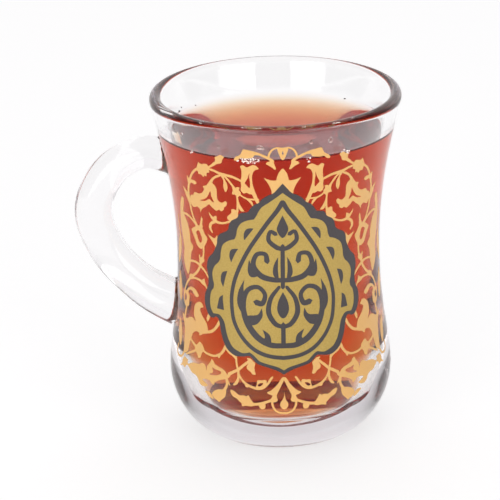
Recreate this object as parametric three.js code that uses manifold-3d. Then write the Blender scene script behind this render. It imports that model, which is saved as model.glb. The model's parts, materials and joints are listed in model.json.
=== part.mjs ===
// A waisted tea glass with a fused ear handle, filled with black tea.
//
// Units are millimetres and +Z is up. The origin is on the glass's own axis, in the plane it stands on.
// The handle points along -X. The printed front of the glass faces -Y.
// The glass is one solid: a turned wall with a thick base, and a drawn handle fused to its side.
// The tea is a second solid, turned from the same inner wall and a hair smaller than it.

import * as THREE from "three";
import { mergeVertices } from "three/addons/utils/BufferGeometryUtils.js";
import Module from "manifold-3d";

// Outside of the glass
const HEIGHT = 93.3;
const MOUTH_RADIUS = 33;
const WAIST_RADIUS = 27;
const WAIST_HEIGHT = 50.4;
const BELLY_RADIUS = 29.9;
const BELLY_HEIGHT = 17;
const FOOT_RADIUS = 19.5;

// The rounded lip, and how far both faces of the wall lean outwards where they meet it
const LIP_RADIUS = 1.55;
const LIP_LEAN = THREE.MathUtils.degToRad(13.7);

// Inside of the glass
const INNER_WAIST_RADIUS = 23.8;
const INNER_WAIST_HEIGHT = 50;
const INNER_FOOT_RADIUS = 18.6;
const INNER_FOOT_HEIGHT = 16.4;
const FLOOR_RADIUS = 13.9;
const FLOOR_EDGE_HEIGHT = 9.3;
const BASE_THICKNESS = 6.2; // at its middle, where the inner floor is hollowed

// Tea
const TEA_LEVEL = 83.3;
const TEA_GAP = 0.3;

// Handle: the line through its middle, from the upper joint round to the lower one, as [x, z].
// Both ends lie inside the wall of the glass.
const HANDLE_LINE = [
  [-27.4, 75.3],
  [-34.5, 76.9],
  [-43.4, 72.6],
  [-48.8, 61.5],
  [-45.2, 49.4],
  [-36.4, 39.6],
  [-26.4, 33.5],
];
const HANDLE_DEPTH = 9.6; // across the handle, along Y
const HANDLE_TOP = 8.6; // in the plane of the handle, at its upper arm
const HANDLE_SIDE = 10.1; // at its outer side
const HANDLE_BOTTOM = 12.2; // at its lower arm
const HANDLE_FILLET = 1.6; // how far the handle spreads where it meets the wall
const HANDLE_ROOT = 1.2; // how far its ends stay from the inner face

// How finely round shapes are divided
const TURNED_SIDES = 64;
const HANDLE_SIDES = 20;
const HANDLE_STEPS = 34;

// Points along one cubic Bezier arc, without its last point, which the next arc starts with.
function arc(from, pull1, pull2, to, steps) {
  const curve = new THREE.CubicBezierCurve(
    new THREE.Vector2(...from),
    new THREE.Vector2(...pull1),
    new THREE.Vector2(...pull2),
    new THREE.Vector2(...to),
  );
  return curve.getPoints(steps).slice(0, -1);
}

// The lip's centre, and the two points where its round meets the outer and the inner face.
const lipCentre = [MOUTH_RADIUS - LIP_RADIUS, HEIGHT - LIP_RADIUS];
const leanOut = [Math.sin(LIP_LEAN), Math.cos(LIP_LEAN)];
const lipOutside = [
  lipCentre[0] + LIP_RADIUS * leanOut[1],
  lipCentre[1] - LIP_RADIUS * leanOut[0],
];
const lipInside = [
  lipCentre[0] - LIP_RADIUS * leanOut[1],
  lipCentre[1] + LIP_RADIUS * leanOut[0],
];

// A point some way below a point of the lip, along the leaning face.
function belowLip(point, distance) {
  return [point[0] - leanOut[0] * distance, point[1] - leanOut[1] * distance];
}

// The outer face, from the middle of the foot up to the lip.
function outerFace() {
  const foot = [FOOT_RADIUS, 0];
  const belly = [BELLY_RADIUS, BELLY_HEIGHT];
  const waist = [WAIST_RADIUS, WAIST_HEIGHT];
  return [
    new THREE.Vector2(0, 0),
    ...arc(foot, [24.2, 0.5], [BELLY_RADIUS, 8.2], belly, 9),
    ...arc(
      belly,
      [BELLY_RADIUS, BELLY_HEIGHT + 8],
      [WAIST_RADIUS, WAIST_HEIGHT - 18],
      waist,
      7,
    ),
    ...arc(
      waist,
      [WAIST_RADIUS, WAIST_HEIGHT + 16.5],
      belowLip(lipOutside, 11.5),
      lipOutside,
      7,
    ),
  ];
}

// The round of the lip, from the outer face over to the inner one.
function lipRound() {
  const round = new THREE.EllipseCurve(
    ...lipCentre,
    LIP_RADIUS,
    LIP_RADIUS,
    -LIP_LEAN,
    Math.PI - LIP_LEAN,
    false,
  );
  return round.getPoints(6).slice(0, -1);
}

// The inner face, from the lip down to the middle of the glass's inner floor.
function innerFace() {
  const waist = [INNER_WAIST_RADIUS, INNER_WAIST_HEIGHT];
  const foot = [INNER_FOOT_RADIUS, INNER_FOOT_HEIGHT];
  const floor = [FLOOR_RADIUS, FLOOR_EDGE_HEIGHT];
  const middle = [0, BASE_THICKNESS];
  return [
    ...arc(
      lipInside,
      belowLip(lipInside, 14),
      [INNER_WAIST_RADIUS, INNER_WAIST_HEIGHT + 14],
      waist,
      8,
    ),
    ...arc(waist, [INNER_WAIST_RADIUS, 36], [22.4, 24.5], foot, 6),
    ...arc(foot, [17, 12.8], [16, FLOOR_EDGE_HEIGHT], floor, 5),
    ...arc(floor, [10, 7.2], [4.7, BASE_THICKNESS], middle, 4),
    new THREE.Vector2(...middle),
  ];
}

// The radius of a face at a height, between the two points of it that lie round that height.
function radiusAt(face, height) {
  const i = face.findIndex(
    (p, k) => k > 0 && (p.y - height) * (face[k - 1].y - height) <= 0,
  );
  const [a, b] = [face[i - 1], face[i]];
  return THREE.MathUtils.mapLinear(height, a.y, b.y, a.x, b.x);
}

// What fills the glass to a level: from its middle at the bottom, up the inner face and back over its top.
// Its side is the inner face moved outwards by an amount, or inwards where the amount is negative.
function fillOutline(moved, level) {
  const side = innerFace()
    .filter((p) => p.x > 0)
    .map((p) => new THREE.Vector2(p.x + moved, p.y - moved))
    .reverse();
  return [
    new THREE.Vector2(0, BASE_THICKNESS - moved),
    ...side.filter((p) => p.y < level),
    new THREE.Vector2(radiusAt(side, level), level),
    new THREE.Vector2(0, level),
  ];
}

// A solid turned from an outline of radii and heights. A lathe turns about Y, so it is tipped upright.
function turned(outline) {
  return new THREE.LatheGeometry(outline, TURNED_SIDES).rotateX(Math.PI / 2);
}

// The handle's thickness in its own plane, at a share of the way from its upper joint to its lower one.
function handleThickness(share) {
  const { lerp, smoothstep } = THREE.MathUtils;
  const upper = lerp(HANDLE_TOP, HANDLE_SIDE, smoothstep(share, 0.12, 0.45));
  return lerp(upper, HANDLE_BOTTOM, smoothstep(share, 0.72, 0.98));
}

// How much the handle spreads at a distance from the wall: a quarter round that runs out into it.
function handleSpread(distance) {
  const near = THREE.MathUtils.clamp(distance / HANDLE_FILLET, 0, 1);
  return HANDLE_FILLET * (1 - Math.sqrt(1 - (1 - near) ** 2));
}

// The handle: a round bar of unit size, bent along its line and given its thickness ring by ring.
// The rings crowd towards both ends, where the handle spreads.
function bentHandle() {
  const line = new THREE.CatmullRomCurve3(
    HANDLE_LINE.map(([x, z]) => new THREE.Vector3(x, 0, z)),
    false,
    "centripetal",
  );
  const outside = outerFace();
  const across = new THREE.Vector3(0, 1, 0);
  const bar = new THREE.CylinderGeometry(1, 1, 1, HANDLE_SIDES, HANDLE_STEPS);
  const points = bar.attributes.position;
  for (let i = 0; i < points.count; i++) {
    const even = 0.5 - points.getY(i);
    const crowded = (1 - Math.cos(Math.PI * even)) / 2;
    const share = THREE.MathUtils.lerp(even, crowded, 0.75);
    const sideways = across.clone().cross(line.getTangentAt(share));
    const pointAt = (spread) =>
      line
        .getPointAt(share)
        .addScaledVector(
          sideways,
          points.getX(i) * (handleThickness(share) / 2 + spread),
        )
        .addScaledVector(across, points.getZ(i) * (HANDLE_DEPTH / 2 + spread));
    const plain = pointAt(0);
    const toWall = Math.hypot(plain.x, plain.y) - radiusAt(outside, plain.z);
    points.setXYZ(i, ...pointAt(handleSpread(toWall)));
  }
  return bar;
}

const wasm = await Module();
wasm.setup();

// A closed geometry as a solid that can be joined to another one.
function toSolid(geometry) {
  const bare = geometry.clone();
  bare.deleteAttribute("normal");
  bare.deleteAttribute("uv");
  const merged = mergeVertices(bare, 1e-4);
  const mesh = new wasm.Mesh({
    numProp: 3,
    vertProperties: merged.attributes.position.array,
    triVerts: new Uint32Array(merged.index.array),
  });
  return new wasm.Manifold(mesh);
}

function toGeometry(solid) {
  const mesh = solid.getMesh();
  const geometry = new THREE.BufferGeometry()
    .setAttribute("position", new THREE.BufferAttribute(mesh.vertProperties, 3))
    .setIndex(new THREE.BufferAttribute(mesh.triVerts, 1));
  geometry.computeVertexNormals();
  return geometry;
}

// The glass: the turned wall and the handle, as one solid. The handle's ends stop inside the wall.
function makeGlass() {
  const wall = toSolid(turned([...outerFace(), ...lipRound(), ...innerFace()]));
  const core = toSolid(turned(fillOutline(HANDLE_ROOT, TEA_LEVEL)));
  const handle = toSolid(bentHandle()).subtract(core);
  const material = new THREE.MeshStandardMaterial({
    color: 0xe9edf0,
    roughness: 0.04,
    metalness: 0,
    transparent: true,
    opacity: 0.35,
  });
  const glass = new THREE.Mesh(toGeometry(wall.add(handle)), material);
  glass.name = "glass";
  return glass;
}

// The tea: a solid of its own, up to the level it is poured to.
function makeTea() {
  const material = new THREE.MeshStandardMaterial({
    color: 0xb4321f,
    roughness: 0.05,
    metalness: 0,
  });
  const outline = fillOutline(-TEA_GAP, TEA_LEVEL);
  const tea = new THREE.Mesh(turned(outline), material);
  tea.name = "tea";
  return tea;
}

const teaGlass = new THREE.Group();
teaGlass.add(makeGlass(), makeTea());

export default teaGlass;
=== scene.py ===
# %% [markdown]
# A handled tea glass, full of black tea.
#
# The real thing is a pressed glass with a waist, a flared mouth and a thick base. Its ear handle is pressed
# with it, so both are one piece of glass. An enamel print wraps the front: a gold scroll round a lobed
# shield. The tea fills it almost to the rim.
#
# The CAD model gives the frame: a `glass` and a `tea`. This script replaces both with finer meshes of the
# same form, adds the print, the froth, the drops and the specks, and gives every piece its material.

# %% Load the frame
import json
import math
import random

import bpy
from mathutils import Matrix, Vector, geometry

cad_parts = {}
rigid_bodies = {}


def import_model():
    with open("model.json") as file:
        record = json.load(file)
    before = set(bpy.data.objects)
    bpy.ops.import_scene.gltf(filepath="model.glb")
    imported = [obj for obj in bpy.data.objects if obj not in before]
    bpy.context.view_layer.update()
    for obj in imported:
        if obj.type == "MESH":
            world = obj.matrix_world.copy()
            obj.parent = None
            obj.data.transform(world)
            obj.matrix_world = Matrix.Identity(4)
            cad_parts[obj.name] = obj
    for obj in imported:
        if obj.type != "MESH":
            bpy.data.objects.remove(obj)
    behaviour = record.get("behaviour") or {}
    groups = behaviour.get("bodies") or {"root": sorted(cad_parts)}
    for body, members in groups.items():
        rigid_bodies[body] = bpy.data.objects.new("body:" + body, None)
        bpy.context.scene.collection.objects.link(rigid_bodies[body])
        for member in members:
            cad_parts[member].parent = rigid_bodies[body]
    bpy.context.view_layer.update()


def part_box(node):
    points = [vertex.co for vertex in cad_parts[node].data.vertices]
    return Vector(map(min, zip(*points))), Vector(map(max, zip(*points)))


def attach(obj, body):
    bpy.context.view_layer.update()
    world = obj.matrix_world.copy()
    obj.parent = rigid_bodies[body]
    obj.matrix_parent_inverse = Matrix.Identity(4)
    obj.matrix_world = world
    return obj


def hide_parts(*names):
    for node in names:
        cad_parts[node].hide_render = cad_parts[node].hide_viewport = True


MM = 0.001

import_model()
_, glass_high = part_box("glass")
tea_low, tea_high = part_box("tea")
HEIGHT = glass_high[2] / MM
MOUTH = glass_high[0] / MM
print("glass height", round(HEIGHT, 2), "mm, mouth radius", round(MOUTH, 2), "mm")
print("tea from", round(tea_low[2] / MM, 2), "to", round(tea_high[2] / MM, 2), "mm")

# %% [markdown]
# The camera stands where the photographer's did. The photo has little perspective, so the lens is long and
# the camera is far off. It looks down on the glass by about 21 degrees. The picture leans by about one
# degree, which is a roll of the camera and not a lean of the glass. Aiming a little beside the glass puts it
# where it is in the frame, so the lens needs no shift.

# %% Camera
CAMERA_DISTANCE = 679.4  # mm from the middle of the glass's axis
CAMERA_ELEVATION = math.radians(20.76)
CAMERA_ROLL = math.radians(1.15)
FRAME_SIDE = 500  # px, the photo's width and height
FOCAL_LENGTH = 2540.1  # px
AXIS_AT = (278.5, 256.9)  # px, where the middle of the axis shows in the photo
SENSOR = 36.0  # mm


def add_camera():
    lens = bpy.data.cameras.new("photo_camera")
    lens.sensor_width = SENSOR
    lens.lens = FOCAL_LENGTH / FRAME_SIDE * SENSOR
    lens.clip_start = 0.01
    camera = bpy.data.objects.new("photo_camera", lens)
    bpy.context.collection.objects.link(camera)
    middle = Vector((0, 0, HEIGHT / 2 * MM))
    back = Vector((0, -math.cos(CAMERA_ELEVATION), math.sin(CAMERA_ELEVATION)))
    level = Matrix.Rotation(math.pi / 2 - CAMERA_ELEVATION, 3, "X")
    roll = Matrix.Rotation(-CAMERA_ROLL, 3, "Z")
    to_left = math.atan((AXIS_AT[0] - FRAME_SIDE / 2) / FOCAL_LENGTH)
    upwards = math.atan((AXIS_AT[1] - FRAME_SIDE / 2) / FOCAL_LENGTH)
    aim = Matrix.Rotation(to_left, 3, "Y") @ Matrix.Rotation(upwards, 3, "X")
    place = Matrix.Translation(middle + back * CAMERA_DISTANCE * MM)
    camera.matrix_world = place @ (level @ roll @ aim).to_4x4()
    bpy.context.scene.camera = camera
    return camera


camera = add_camera()
print("camera at", [round(v, 3) for v in camera.location])

# %% [markdown]
# The stage is a plain pale floor under soft light. Glass shows only what is round it. So the floor is a
# sheet of opal acrylic that is lit from below too, which keeps the thick base bright and the shadow faint.
# The room is darker on the camera's side, which draws the glass's edges. A broad, weak ceiling light fills
# it, and two soft boxes stand beside the camera. They are the white patches on the far wall inside the
# mouth, each on the other side from its lamp.

# %% Stage
FLOOR_SIZE = 6.0  # m
FLOOR_LEVEL = -0.0002  # m, a hair under the foot, so that the two faces never meet
ROOM_FRONT = 0.2  # how bright the room is on the camera's side
ROOM_BACK = 0.97  # and behind the glass
FLOOR_COLOUR = (0.46, 0.455, 0.46, 1)
FLOOR_GLOW = 0.7  # how much of its white the floor gives off by itself
AIM_HEIGHT = 0.06  # m, where the lamps point
LAMPS = [  # name, azimuth and elevation in degrees, distance, width and height in metres, power in watts
    ("ceiling", 0, 90, 1.6, 2.4, 2.4, 8),
    ("left_soft_box", -34, 14, 0.9, 0.56, 0.6, 2.6),
    ("right_soft_box", 39, 16, 0.9, 0.6, 0.34, 1.6),
]


def add_floor():
    bpy.ops.object.select_all(action="DESELECT")
    bpy.ops.mesh.primitive_plane_add(size=FLOOR_SIZE, location=(0, 0, FLOOR_LEVEL))
    floor = bpy.context.object
    floor.name = "floor"
    material = bpy.data.materials.new("opal_acrylic_floor")
    material.use_nodes = True
    shader = material.node_tree.nodes["Principled BSDF"]
    shader.inputs["Base Color"].default_value = FLOOR_COLOUR
    shader.inputs["Roughness"].default_value = 0.9
    shader.inputs["Specular IOR Level"].default_value = 0.1
    shader.inputs["Emission Color"].default_value = (1, 1, 1, 1)
    shader.inputs["Emission Strength"].default_value = FLOOR_GLOW
    floor.data.materials.append(material)
    return floor


def add_soft_light(name, azimuth, elevation, distance, width, height, power):
    """A rectangular lamp that faces the glass."""
    data = bpy.data.lights.new(name, "AREA")
    data.shape = "RECTANGLE"
    data.size = width
    data.size_y = height
    data.energy = power
    lamp = bpy.data.objects.new(name, data)
    bpy.context.collection.objects.link(lamp)
    turn = math.radians(azimuth)
    rise = math.radians(elevation)
    towards = Vector(
        (
            math.sin(turn) * math.cos(rise),
            -math.cos(turn) * math.cos(rise),
            math.sin(rise),
        )
    )
    lamp.location = Vector((0, 0, AIM_HEIGHT)) + towards * distance
    lamp.rotation_euler = towards.to_track_quat("Z", "Y").to_euler()
    return lamp


def light_room():
    world = bpy.data.worlds.new("studio_room")
    bpy.context.scene.world = world
    world.use_nodes = True
    nodes = world.node_tree.nodes
    links = world.node_tree.links
    direction = nodes.new("ShaderNodeTexCoord")
    axes = nodes.new("ShaderNodeSeparateXYZ")
    links.new(direction.outputs["Generated"], axes.inputs["Vector"])
    sweep = nodes.new("ShaderNodeMapRange")
    sweep.interpolation_type = "SMOOTHSTEP"
    sweep.inputs["From Min"].default_value = 0.1
    sweep.inputs["From Max"].default_value = 0.8
    sweep.inputs["To Min"].default_value = ROOM_FRONT
    sweep.inputs["To Max"].default_value = ROOM_BACK
    links.new(axes.outputs["Y"], sweep.inputs["Value"])
    links.new(sweep.outputs["Result"], nodes["Background"].inputs["Strength"])
    nodes["Background"].inputs["Color"].default_value = (1.0, 0.985, 1.0, 1)
    for lamp in LAMPS:
        add_soft_light(*lamp)
    scene = bpy.context.scene
    scene.view_settings.view_transform = "Standard"
    scene.view_settings.look = "None"


floor = add_floor()
light_room()

# %% [markdown]
# The glass is turned, so one outline gives its whole body. The outline is made of three long arcs on the
# outside, a half round for the lip, and four arcs on the inside. The underside is a little hollow, as it is
# on a pressed glass that must not rock. Each arc is a Bezier curve between two heights where the face stands
# upright or meets the next one.

# %% Outline of the glass
WAIST_RADIUS = 27.0
WAIST_HEIGHT = 50.4
BELLY_RADIUS = 29.9
BELLY_HEIGHT = 17.0
FOOT_RADIUS = 19.5
RING_RADIUS = 17.3  # the glass stands on the ring from here out to its foot
UNDERSIDE_HOLLOW = 1.3
LIP_RADIUS = 1.55
LIP_LEAN = math.radians(13.7)
INNER_WAIST_RADIUS = 23.8
INNER_WAIST_HEIGHT = 50.0
INNER_FOOT_RADIUS = 18.6
INNER_FOOT_HEIGHT = 16.4
FLOOR_RADIUS = 13.9
FLOOR_EDGE_HEIGHT = 9.3
BASE_THICKNESS = 6.2

FULL_HEIGHT = 93.3
MOUTH_RADIUS = 33.0
LIP_CENTRE = (MOUTH_RADIUS - LIP_RADIUS, FULL_HEIGHT - LIP_RADIUS)
LEAN = (math.sin(LIP_LEAN), math.cos(LIP_LEAN))
LIP_OUTSIDE = (LIP_CENTRE[0] + LIP_RADIUS * LEAN[1], LIP_CENTRE[1] - LIP_RADIUS * LEAN[0])
LIP_INSIDE = (LIP_CENTRE[0] - LIP_RADIUS * LEAN[1], LIP_CENTRE[1] + LIP_RADIUS * LEAN[0])


def bezier(start, pull1, pull2, end, steps):
    """Points along one arc, without its last point."""
    found = []
    for i in range(steps):
        t = i / steps
        weights = ((1 - t) ** 3, 3 * t * (1 - t) ** 2, 3 * t * t * (1 - t), t**3)
        corners = (start, pull1, pull2, end)
        found.append(tuple(sum(w * c[k] for w, c in zip(weights, corners)) for k in (0, 1)))
    return found


def below_lip(point, distance):
    return (point[0] - LEAN[0] * distance, point[1] - LEAN[1] * distance)


def outer_face():
    ring = (RING_RADIUS, 0.0)
    foot = (FOOT_RADIUS, 0.0)
    belly = (BELLY_RADIUS, BELLY_HEIGHT)
    waist = (WAIST_RADIUS, WAIST_HEIGHT)
    return (
        bezier((0.0, UNDERSIDE_HOLLOW), (7.0, UNDERSIDE_HOLLOW), (12.0, 0.0), ring, 12)
        + bezier(ring, (RING_RADIUS + 0.7, 0.0), (FOOT_RADIUS - 0.7, 0.0), foot, 2)
        + bezier(foot, (24.2, 0.5), (BELLY_RADIUS, 8.2), belly, 26)
        + bezier(belly, (BELLY_RADIUS, BELLY_HEIGHT + 8), (WAIST_RADIUS, WAIST_HEIGHT - 18), waist, 20)
        + bezier(waist, (WAIST_RADIUS, WAIST_HEIGHT + 16.5), below_lip(LIP_OUTSIDE, 11.5), LIP_OUTSIDE, 24)
    )


def lip_round(steps=14):
    found = []
    for i in range(steps):
        turn = -LIP_LEAN + math.pi * i / steps
        r = LIP_CENTRE[0] + LIP_RADIUS * math.cos(turn)
        z = LIP_CENTRE[1] + LIP_RADIUS * math.sin(turn)
        found.append((r, z))
    return found


def inner_face():
    waist = (INNER_WAIST_RADIUS, INNER_WAIST_HEIGHT)
    foot = (INNER_FOOT_RADIUS, INNER_FOOT_HEIGHT)
    edge = (FLOOR_RADIUS, FLOOR_EDGE_HEIGHT)
    middle = (0.0, BASE_THICKNESS)
    above_waist = (INNER_WAIST_RADIUS, INNER_WAIST_HEIGHT + 14)
    return (
        bezier(LIP_INSIDE, below_lip(LIP_INSIDE, 14), above_waist, waist, 26)
        + bezier(waist, (INNER_WAIST_RADIUS, 36), (22.4, 24.5), foot, 20)
        + bezier(foot, (17.0, 12.8), (16.0, FLOOR_EDGE_HEIGHT), edge, 14)
        + bezier(edge, (10.0, 7.2), (4.7, BASE_THICKNESS), middle, 10)
        + [middle]
    )


def radius_at(face, height):
    """The radius of a face at a height, between the two points round that height."""
    for (r1, z1), (r2, z2) in zip(face, face[1:]):
        if (z1 - height) * (z2 - height) <= 0 and z1 != z2:
            return r1 + (r2 - r1) * (height - z1) / (z2 - z1)
    raise ValueError(f"no point of the face is at height {height}")


OUTSIDE = outer_face()
INSIDE = inner_face()
print("outline:", len(OUTSIDE) + len(lip_round()) + len(INSIDE), "points")
waist_wall = radius_at(OUTSIDE, INNER_WAIST_HEIGHT) - radius_at(INSIDE, INNER_WAIST_HEIGHT)
print("wall at the waist:", round(waist_wall, 2), "mm")

# %% [markdown]
# A turned piece is drawn as half an outline and spun round the axis, as a lathe would. Starting from one
# vertex, each point of the outline is extruded from the last one. After the spin the vertices that meet on
# the axis are merged, and the normals are made to point outwards.

# %% Spinning an outline
TURNED_STEPS = 160


def start_piece(name):
    """A new mesh that holds one vertex at the origin, in edit mode with that vertex selected."""
    bpy.ops.object.select_all(action="DESELECT")
    bpy.ops.mesh.primitive_plane_add(size=MM, location=(0, 0, 0))
    piece = bpy.context.object
    piece.name = name
    piece.data.name = name
    bpy.ops.object.mode_set(mode="EDIT")
    bpy.ops.mesh.select_all(action="SELECT")
    bpy.ops.mesh.merge(type="CENTER")
    return piece


def spun(name, outline, steps=TURNED_STEPS):
    piece = start_piece(name)
    here = (0.0, 0.0)
    for count, (r, z) in enumerate(outline):
        step = ((r - here[0]) * MM, 0, (z - here[1]) * MM)
        if count == 0:
            bpy.ops.transform.translate(value=step)
        else:
            bpy.ops.mesh.extrude_vertices_move(TRANSFORM_OT_translate={"value": step})
        here = (r, z)
    bpy.ops.mesh.select_all(action="SELECT")
    bpy.ops.mesh.spin(steps=steps, angle=2 * math.pi, center=(0, 0, 0), axis=(0, 0, 1))
    bpy.ops.mesh.select_all(action="SELECT")
    bpy.ops.mesh.remove_doubles(threshold=0.002 * MM)
    bpy.ops.mesh.normals_make_consistent(inside=False)
    bpy.ops.object.mode_set(mode="OBJECT")
    return piece


def only(piece):
    bpy.ops.object.select_all(action="DESELECT")
    piece.select_set(True)
    bpy.context.view_layer.objects.active = piece


def combine(piece, other, operation):
    """Join or cut a piece by another one, which is used up."""
    cut = piece.modifiers.new("join", "BOOLEAN")
    cut.operation = operation
    cut.solver = "MANIFOLD"
    cut.object = other
    only(piece)
    bpy.ops.object.modifier_apply(modifier=cut.name)
    bpy.data.objects.remove(other)


def fill_outline(moved, level, top=()):
    """What fills the glass to a level, with its side moved outwards by an amount."""
    side = [(r + moved, z - moved) for r, z in reversed(INSIDE) if r > 0]
    return (
        [(0.0, BASE_THICKNESS - moved)]
        + [p for p in side if p[1] < level]
        + [(radius_at(side, level), level)]
        + list(top)
        + [(0.0, top[-1][1] if top else level)]
    )


glass = spun("pressed_glass", OUTSIDE + lip_round() + INSIDE)
print("glass body:", len(glass.data.polygons), "faces")

# %% [markdown]
# The handle is a round bar that bends out of the wall and back into it. A straight bar is extruded step by
# step, and each of its rings is then put on the handle's line with the thickness it has there. Close to the
# wall the ring spreads in a small quarter round, as hot glass does in the mould. A Boolean cuts the ends off
# inside the wall and another one joins the handle to the body, so that light finds no wall between them.

# %% Handle
HANDLE_LINE = [  # across and up, in mm, from the upper joint round to the lower one
    (-27.4, 75.3),
    (-34.5, 76.9),
    (-43.4, 72.6),
    (-48.8, 61.5),
    (-45.2, 49.4),
    (-36.4, 39.6),
    (-26.4, 33.5),
]
HANDLE_DEPTH = 9.6  # front to back
HANDLE_TOP = 8.6  # its thickness at the upper arm
HANDLE_SIDE = 10.1
HANDLE_BOTTOM = 12.2
HANDLE_FILLET = 0.8
HANDLE_ROOT = 1.2  # how far its ends stay from the tea
HANDLE_SIDES = 40
HANDLE_STEPS = 110
LINE_STEPS = 40  # between two points of the line
CORE_LEVEL = 84  # mm, above the upper joint
SMOOTH_ANGLE = math.radians(38)


def clamp(value, low=0.0, high=1.0):
    return max(low, min(high, value))


def smoothstep(value, low, high):
    t = clamp((value - low) / (high - low))
    return t * t * (3 - 2 * t)


def smooth_line(points, count):
    """Points at even steps along a centripetal Catmull-Rom curve, with the direction at each."""
    dense = []
    first = [2 * a - b for a, b in zip(points[0], points[1])]
    last = [2 * a - b for a, b in zip(points[-1], points[-2])]
    padded = [Vector(p) for p in (first, *points, last)]
    for p0, p1, p2, p3 in zip(padded, padded[1:], padded[2:], padded[3:]):
        t0 = 0.0
        t1 = t0 + (p1 - p0).length ** 0.5
        t2 = t1 + (p2 - p1).length ** 0.5
        t3 = t2 + (p3 - p2).length ** 0.5
        for i in range(LINE_STEPS):
            t = t1 + (t2 - t1) * i / LINE_STEPS
            a1 = p0 * ((t1 - t) / (t1 - t0)) + p1 * ((t - t0) / (t1 - t0))
            a2 = p1 * ((t2 - t) / (t2 - t1)) + p2 * ((t - t1) / (t2 - t1))
            a3 = p2 * ((t3 - t) / (t3 - t2)) + p3 * ((t - t2) / (t3 - t2))
            b1 = a1 * ((t2 - t) / (t2 - t0)) + a2 * ((t - t0) / (t2 - t0))
            b2 = a2 * ((t3 - t) / (t3 - t1)) + a3 * ((t - t1) / (t3 - t1))
            dense.append(b1 * ((t2 - t) / (t2 - t1)) + b2 * ((t - t1) / (t2 - t1)))
    dense.append(padded[-2])
    along = [0.0]
    for a, b in zip(dense, dense[1:]):
        along.append(along[-1] + (b - a).length)
    found = []
    k = 0
    for i in range(count + 1):
        want = along[-1] * i / count
        while k < len(dense) - 2 and along[k + 1] < want:
            k += 1
        share = (want - along[k]) / (along[k + 1] - along[k])
        found.append((dense[k].lerp(dense[k + 1], share), (dense[k + 1] - dense[k]).normalized()))
    return found


def handle_thickness(share):
    upper = HANDLE_TOP + (HANDLE_SIDE - HANDLE_TOP) * smoothstep(share, 0.12, 0.45)
    return upper + (HANDLE_BOTTOM - upper) * smoothstep(share, 0.72, 0.98)


def handle_spread(distance):
    near = clamp(distance / HANDLE_FILLET)
    return HANDLE_FILLET * (1 - math.sqrt(1 - (1 - near) ** 2))


def add_handle():
    bpy.ops.object.select_all(action="DESELECT")
    bpy.ops.mesh.primitive_circle_add(vertices=HANDLE_SIDES, radius=1, fill_type="NGON")
    handle = bpy.context.object
    bpy.ops.object.mode_set(mode="EDIT")
    for _ in range(HANDLE_STEPS):
        bpy.ops.mesh.extrude_region_move(TRANSFORM_OT_translate={"value": (0, 0, 1)})
    bpy.ops.object.mode_set(mode="OBJECT")
    line = smooth_line(HANDLE_LINE, HANDLE_STEPS)
    for vertex in handle.data.vertices:
        ring = round(vertex.co.z)
        centre, ahead = line[ring]
        sideways = Vector((ahead.y, -ahead.x))
        half = handle_thickness(ring / HANDLE_STEPS) / 2

        def place(spread):
            in_plane = centre + sideways * vertex.co.x * (half + spread)
            return Vector((in_plane.x, vertex.co.y * (HANDLE_DEPTH / 2 + spread), in_plane.y))

        plain = place(0)
        to_wall = math.hypot(plain.x, plain.y) - radius_at(OUTSIDE, plain.z)
        vertex.co = place(handle_spread(to_wall)) * MM
    only(handle)
    bpy.ops.object.mode_set(mode="EDIT")
    bpy.ops.mesh.select_all(action="SELECT")
    bpy.ops.mesh.normals_make_consistent(inside=False)
    bpy.ops.object.mode_set(mode="OBJECT")
    return handle


handle = add_handle()
combine(handle, spun("core", fill_outline(HANDLE_ROOT, CORE_LEVEL)), "DIFFERENCE")
combine(glass, handle, "UNION")
only(glass)
bpy.ops.object.shade_smooth_by_angle(angle=SMOOTH_ANGLE)
print("glass with its handle:", len(glass.data.polygons), "faces")

# %% [markdown]
# Tea is turned like the glass. Its side reaches a little way into the wall, so that light goes from glass
# straight into tea with no film of air between them. Its top isn't flat: tea climbs the wall in a small
# hollow curve, the meniscus, which shows as a dark line round its edge. Last, each vertex of glass and tea
# is told how wet it is. The materials use that, because glass that touches tea mirrors far less. The
# outside in front of the tea is also counted partly wet, as painted shade that dims its reflection there.

# %% Tea
TEA_LEVEL = tea_high[2] / MM - 0.35  # in the middle, a little lower than the level seen at the wall
TEA_INTO_WALL = 0.08
MENISCUS_HEIGHT = 1.3
MENISCUS_REACH = 1.5  # how far from the wall it has fallen to about a third
MENISCUS_SPAN = 8.0
MENISCUS_POINTS = 14
CONTACT_LEVEL = TEA_LEVEL + MENISCUS_HEIGHT
# how wet the dry outside in front of the tea counts: painted shade that dims its reflection
OUTER_PAINTED_DIMMING = 0.6


def meniscus():
    wall = radius_at(INSIDE, CONTACT_LEVEL) + TEA_INTO_WALL
    found = []
    for i in range(1, MENISCUS_POINTS + 1):
        away = MENISCUS_SPAN * (i / MENISCUS_POINTS) ** 1.8
        found.append((wall - away, TEA_LEVEL + MENISCUS_HEIGHT * math.exp(-away / MENISCUS_REACH)))
    return found


def mark_wet(piece, wetness):
    """Store on each vertex 1 where glass and tea touch, 0 where it is dry, and values between."""
    wet = piece.data.attributes.new("wet", "FLOAT", "POINT")
    for vertex, value in zip(piece.data.vertices, wet.data):
        x, y, z = vertex.co / MM
        value.value = wetness(math.hypot(x, y), z)


def tea_wetness(r, z):
    return 1.0 if z < TEA_LEVEL or r > radius_at(INSIDE, CONTACT_LEVEL) else 0.0


def glass_wetness_and_painted_dimming(r, z):
    """The dry outside in front of the tea counts as partly wet: painted shade that dims its reflection
    there.
    """
    if BASE_THICKNESS - 0.05 < z < CONTACT_LEVEL and r < radius_at(INSIDE, z + 0.1) + 0.3:
        return 1.0
    if z < CONTACT_LEVEL and r < radius_at(OUTSIDE, max(z, 0.01)) + 0.05:
        return OUTER_PAINTED_DIMMING * smoothstep(z, 9, 18)
    return 0.0


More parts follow.
